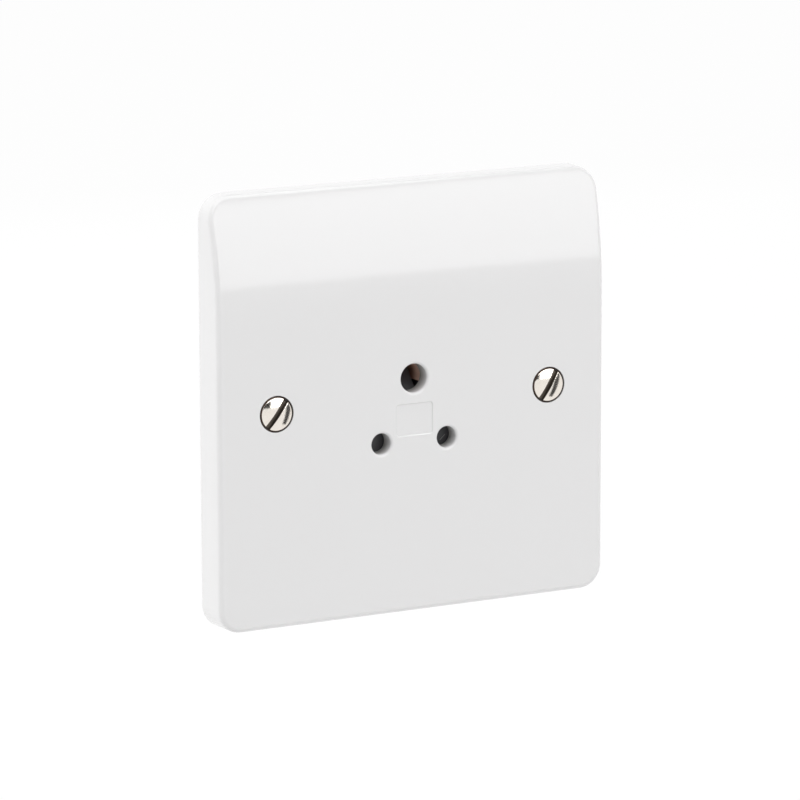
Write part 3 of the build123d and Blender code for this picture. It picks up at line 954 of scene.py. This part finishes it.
def make_housing_screw(node, finish):
    """A pan head screw with a cross recess and a coarse thread, put in from behind."""
    low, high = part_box(node)
    length = high.y - low.y
    shoulder = length - HOUSING_HEAD_HEIGHT
    dome_radius = HOUSING_HEAD_RADIUS - HOUSING_HEAD_ROLL
    profile = domed_head(dome_radius, HOUSING_HEAD_SPHERE, HOUSING_HEAD_RADIUS, length)
    profile += [
        (HOUSING_HEAD_RADIUS, shoulder),
        (HOUSING_THREAD, shoulder),
        (HOUSING_CORE, shoulder - HOUSING_CORE / 2),
        (0.0, shoulder - HOUSING_CORE / 2),
    ]
    head = lathe(profile, HOUSING_HEAD_STEPS)
    for span, width in ((CROSS_SPAN, CROSS_WIDTH), (CROSS_WIDTH, CROSS_SPAN)):
        cutter = block(span, width, 2 * CROSS_DEPTH, (0, 0, length))
        for vert in cutter.verts:
            if vert.co.z < length:
                vert.co.x *= CROSS_TAPER
                vert.co.y *= CROSS_TAPER
        head = combine(head, cutter)
    shank = threaded_shank(
        HOUSING_CORE, HOUSING_THREAD, HOUSING_PITCH, 0.0, shoulder, HOUSING_THREAD_STEPS
    )
    taper_tip(shank, 0.0, HOUSING_THREAD, HOUSING_CORE / 4)
    screw = gather([head, shank])
    shade_round(screw)
    middle = (low + high) / 2
    stand(screw, (middle.x, low.y, middle.z), (0, 1, 0))
    return add_piece(f"{node}_plated", screw, [finish], [node])


def make_terminal_screw(pole, finish):
    """A brass terminal screw with a slotted cheese head, reached from behind."""
    node = f"{pole}_terminal_screw"
    low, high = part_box(node)
    length = high.y - low.y
    shoulder = length - TERMINAL_HEAD_HEIGHT
    rim = TERMINAL_HEAD_RADIUS - TERMINAL_HEAD_EDGE
    profile = [(0.0, length)]
    profile += [
        (rim + TERMINAL_HEAD_EDGE * math.sin(a), length - TERMINAL_HEAD_EDGE * (1 - math.cos(a)))
        for a in even_angles(math.pi / 2, CORNER_STEPS)
    ]
    profile += [
        (TERMINAL_HEAD_RADIUS, shoulder),
        (TERMINAL_THREAD, shoulder),
        (TERMINAL_CORE, shoulder - TERMINAL_RUN_OUT),
        (0.0, shoulder - TERMINAL_RUN_OUT),
    ]
    cutter = block(
        4 * TERMINAL_HEAD_RADIUS,
        TERMINAL_SLOT,
        2 * TERMINAL_SLOT_DEPTH,
        (0, 0, length),
        -TERMINAL_SLOT_ANGLE,
    )
    head = combine(lathe(profile, TERMINAL_HEAD_STEPS), cutter)
    shank = threaded_shank(TERMINAL_CORE, TERMINAL_THREAD, TERMINAL_PITCH, 0.0, shoulder)
    taper_tip(shank, 0.0, TERMINAL_HEAD_EDGE, TERMINAL_THREAD - TERMINAL_HEAD_EDGE)
    screw = gather([head, shank])
    shade_round(screw)
    middle = (low + high) / 2
    stand(screw, (middle.x, low.y, middle.z), (0, 1, 0))
    return add_piece(f"{pole}_clamp_screw", screw, [finish], [node])


def make_shutter_spring(finish):
    """The coil spring under the shutter, with a closed turn at each end."""
    low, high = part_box("shutter_spring")
    middle = (low + high) / 2
    rise = high.z - low.z - SHUTTER_WIRE
    active = SHUTTER_TURNS - 2 * DEAD_TURNS
    pitch = (rise - 2 * DEAD_TURNS * SHUTTER_WIRE) / active
    bm = bmesh.new()
    start = Vector((middle.x + SHUTTER_COIL, middle.y, low.z + SHUTTER_WIRE / 2))
    upright = Matrix.Translation(start) @ Matrix.Rotation(math.pi / 2, 4, "X")
    bmesh.ops.create_circle(
        bm, cap_ends=True, segments=COIL_WIRE_SIDES, radius=SHUTTER_WIRE / 2, matrix=upright
    )
    last = bm.faces[:] + bm.edges[:] + bm.verts[:]
    closed = (DEAD_TURNS, SHUTTER_WIRE)
    for turns, advance in (closed, (active, pitch), closed):
        spun = bmesh.ops.spin(
            bm,
            geom=last,
            cent=middle,
            axis=(0, 0, 1),
            dvec=(0, 0, advance / COIL_STEPS),
            angle=2 * math.pi * turns,
            steps=COIL_STEPS * turns,
        )
        last = spun["geom_last"]
    bmesh.ops.remove_doubles(bm, verts=bm.verts, dist=WELD)
    bmesh.ops.recalc_face_normals(bm, faces=bm.faces)
    shade_round(bm, WIRE_SMOOTH_BELOW)
    spring = add_piece("shutter_coil", bm, [finish], ["shutter_spring"])
    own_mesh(spring)
    return spring


def make_grip_ring(pole, finish):
    """The round spring wire that hugs a contact sleeve, open below."""
    node = f"{pole}_grip_spring"
    low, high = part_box(node)
    middle = (low + high) / 2
    outer = (high.x - low.x) / 2
    centre = Vector((middle.x, middle.y, high.z - outer))
    opening = math.radians(RING_OPENINGS[pole])
    bm = bmesh.new()
    flat = Matrix.Translation((outer - RING_WIRE / 2, 0, 0)) @ Matrix.Rotation(math.pi / 2, 4, "X")
    bmesh.ops.create_circle(
        bm, cap_ends=True, segments=RING_WIRE_SIDES, radius=RING_WIRE / 2, matrix=flat
    )
    bmesh.ops.spin(
        bm,
        geom=bm.faces[:] + bm.edges[:] + bm.verts[:],
        axis=(0, 0, 1),
        angle=2 * math.pi - opening,
        steps=RING_STEPS,
    )
    bmesh.ops.recalc_face_normals(bm, faces=bm.faces)
    first_end = -math.pi / 2 + opening / 2
    place = Matrix.Rotation(math.pi / 2, 4, "X") @ Matrix.Rotation(first_end, 4, "Z")
    bmesh.ops.transform(bm, matrix=Matrix.Translation(centre) @ place, verts=bm.verts)
    shade_round(bm, WIRE_SMOOTH_BELOW)
    return add_piece(f"{pole}_grip_ring", bm, [finish], [node])


def make_faceplate(finish):
    """The white plate, with the round marks that the ejector pins leave on its inner face."""
    bm = merged_copy("faceplate")
    marks = []
    for x, z in EJECTOR_PLACES:
        disc = bmesh.new()
        bmesh.ops.create_cone(
            disc,
            cap_ends=True,
            segments=EJECTOR_SIDES,
            radius1=EJECTOR_RADIUS,
            radius2=EJECTOR_RADIUS,
            depth=2 * EJECTOR_DEPTH,
        )
        stand(disc, (x * MM, -INNER_FACE, z * MM))
        marks.append(disc)
    bm = combine(bm, gather(marks))
    shade_round(bm)
    return add_piece("faceplate_moulding", bm, [finish], ["faceplate"])


def mark_stroke(start_x, start_z, end_x, end_z):
    """One straight stroke of a mark, between two points given as shares of its height."""
    run = Vector((end_x - start_x, end_z - start_z)) * MARK_HEIGHT
    middle = Vector((start_x + end_x, start_z + end_z)) * MARK_HEIGHT / 2
    turn = math.degrees(math.atan2(run.y, run.x))
    length = run.length + MARK_STROKE
    return block(length, MARK_STROKE, 2 * MARK_RELIEF, (middle.x, middle.y, 0), turn)


def make_pole_mark(name, strokes, x, z, finish):
    """A raised mark on the back of the housing, which reads the right way from behind."""
    bm = mark_stroke(*strokes[0])
    for stroke in strokes[1:]:
        bm = combine(bm, mark_stroke(*stroke), "UNION")
    aim = Matrix.Rotation(math.pi, 4, "Z") @ Matrix.Rotation(math.pi / 2, 4, "X")
    bmesh.ops.transform(bm, matrix=Matrix.Translation((x, HOUSING_BACK, z)) @ aim, verts=bm.verts)
    shade_round(bm)
    return add_piece(f"{name}_mark", bm, [finish])


def seen_directly(tree):
    """1 for what the camera or a mirror sees, and 0 for other light."""
    path = tree.nodes.new("ShaderNodeLightPath")
    return calculate(tree, "MAXIMUM", path.outputs["Is Camera Ray"], path.outputs["Is Glossy Ray"])


def make_paper(name, shade):
    """The material of a matte grey paper, and its shader."""
    material = bpy.data.materials.new(name)
    material.use_nodes = True
    paper = material.node_tree.nodes["Principled BSDF"]
    paper.inputs["Base Color"].default_value = (shade, shade, shade, 1)
    paper.inputs["Roughness"].default_value = PAPER_ROUGHNESS
    return material, paper


def make_room():
    """White surroundings, which light the object less than they show."""
    world = bpy.data.worlds.new("studio")
    bpy.context.scene.world = world
    world.use_nodes = True
    tree = world.node_tree
    background = tree.nodes["Background"]
    background.inputs["Color"].default_value = (1, 1, 1, 1)
    path = tree.nodes.new("ShaderNodeLightPath")
    through = path.outputs["Is Transmission Ray"]
    seen = calculate(tree, "MAXIMUM", seen_directly(tree), through)
    level = calculate(tree, "MULTIPLY_ADD", seen, 1 - ROOM_LIGHT, ROOM_LIGHT)
    tree.links.new(level, background.inputs["Strength"])


def make_floor():
    """A low pale floor that keeps the object's shadow."""
    bm = bmesh.new()
    below = Matrix.Translation((0, 0, FLOOR_HEIGHT))
    bmesh.ops.create_circle(
        bm, cap_ends=True, segments=FLOOR_SIDES, radius=FLOOR_RADIUS, matrix=below
    )
    ground = add_object("floor", mesh_from("floor", bm))
    material, paper = make_paper("floor_paper", FLOOR_SHADE)
    tree = material.node_tree
    glow = tree.nodes.new("ShaderNodeEmission")
    glow.inputs["Strength"].default_value = FLOOR_GLOW
    both = tree.nodes.new("ShaderNodeMixShader")
    glowing = calculate(tree, "MULTIPLY", seen_directly(tree), FLOOR_GLOW_SHARE)
    tree.links.new(glowing, both.inputs[0])
    tree.links.new(paper.outputs[0], both.inputs[1])
    tree.links.new(glow.outputs[0], both.inputs[2])
    tree.links.new(both.outputs[0], tree.nodes["Material Output"].inputs["Surface"])
    ground.data.materials.append(material)


def direction(azimuth, elevation):
    """A unit vector from the object: azimuth 0 looks at the room, and 90 to the right."""
    a = math.radians(azimuth)
    e = math.radians(elevation)
    return Vector((math.sin(a) * math.cos(e), -math.cos(a) * math.cos(e), math.sin(e)))


def add_softbox(name, azimuth, elevation, width, height, level, glossy=True):
    """A square lamp that faces the object, with the brightness of its surface as its level."""
    data = bpy.data.lights.new(name, "AREA")
    data.shape = "RECTANGLE"
    data.size = width
    data.size_y = height
    data.energy = level * math.pi * width * height
    lamp = add_object(name, data)
    lamp.location = direction(azimuth, elevation) * LAMP_DISTANCE
    lamp.rotation_mode = "QUATERNION"
    lamp.rotation_quaternion = (-direction(azimuth, elevation)).to_track_quat("-Z", "Y")
    lamp.visible_camera = False
    lamp.visible_glossy = glossy


def add_card(name, foot, head):
    """A black card that only reflections see; edges are (left, right, elevation, distance)."""
    left_foot, right_foot, low, foot_distance = foot
    left_head, right_head, high, head_distance = head
    bm = bmesh.new()
    corners = (
        direction(left_foot, low) * foot_distance,
        direction(right_foot, low) * foot_distance,
        direction(right_head, high) * head_distance,
        direction(left_head, high) * head_distance,
    )
    bm.faces.new([bm.verts.new(corner) for corner in corners])
    card = add_object(name, mesh_from(name, bm))
    material, _ = make_paper(name, CARD_SHADE)
    card.data.materials.append(material)
    card.visible_camera = False
    card.visible_diffuse = False
    card.visible_shadow = False


def make_camera():
    """The camera, with the photograph's place, aim and lens."""
    data = bpy.data.cameras.new("photograph")
    data.sensor_width = CAMERA_SENSOR
    data.lens = CAMERA_LENS
    data.clip_start = CAMERA_NEAR
    data.clip_end = CAMERA_FAR
    camera = add_object("photograph", data)
    ahead = Vector((
        math.sin(CAMERA_YAW) * math.cos(CAMERA_PITCH),
        math.cos(CAMERA_YAW) * math.cos(CAMERA_PITCH),
        -math.sin(CAMERA_PITCH),
    ))
    camera.location = CAMERA_AIM - ahead * CAMERA_DISTANCE
    camera.rotation_mode = "QUATERNION"
    level = ahead.to_track_quat("-Z", "Y")
    camera.rotation_quaternion = level @ Quaternion((0, 0, 1), CAMERA_ROLL)
    bpy.context.scene.camera = camera


finishes = make_materials()
make_faceplate(finishes["white_moulding"])
dress_node("rear_housing", "housing_moulding", finishes["black_moulding"])
for name, (strokes, x, z) in POLE_MARKS.items():
    make_pole_mark(name, strokes, x, z, finishes["black_moulding"])
dress_node("shutter", "shutter_slider", finishes["shutter_moulding"], "shutter")
for side in SIDES:
    make_fixing_screw(side, [finishes[name] for name in FIXING_FINISHES])
for pole in POLES:
    dress_node(f"{pole}_contact", f"{pole}_sleeve", finishes["contact_metal"])
    dress_node(f"{pole}_terminal", f"{pole}_block", finishes["terminal_brass"])
    make_terminal_screw(pole, finishes["terminal_brass"])
    make_grip_ring(pole, finishes["spring_steel"])
for row in ("top", "bottom"):
    for side in SIDES:
        make_housing_screw(f"housing_screw_{row}_{side}", finishes["zinc_plate"])
make_shutter_spring(finishes["spring_steel"])

make_room()
make_floor()
add_softbox("face_softbox", azimuth=27, elevation=12.2, width=1.4, height=0.62, level=2.15)
add_softbox("overhead_fill", azimuth=0, elevation=70, width=1.6, height=1.6, level=2.0)
add_softbox("left_fill", azimuth=-115, elevation=5, width=1.6, height=1.6, level=2.4, glossy=False)
add_softbox("rear_fill", azimuth=170, elevation=25, width=1.6, height=1.6, level=0.9, glossy=False)
add_card("dark_card_right", foot=(35.5, 43.5, -28, 0.5), head=(43, 54, 7, 1.45))
add_card("dark_card_left", foot=(-8, 11, 0, 1.3), head=(-8, 14, 13, 1.3))
make_camera()
bpy.context.scene.view_settings.view_transform = "Standard"
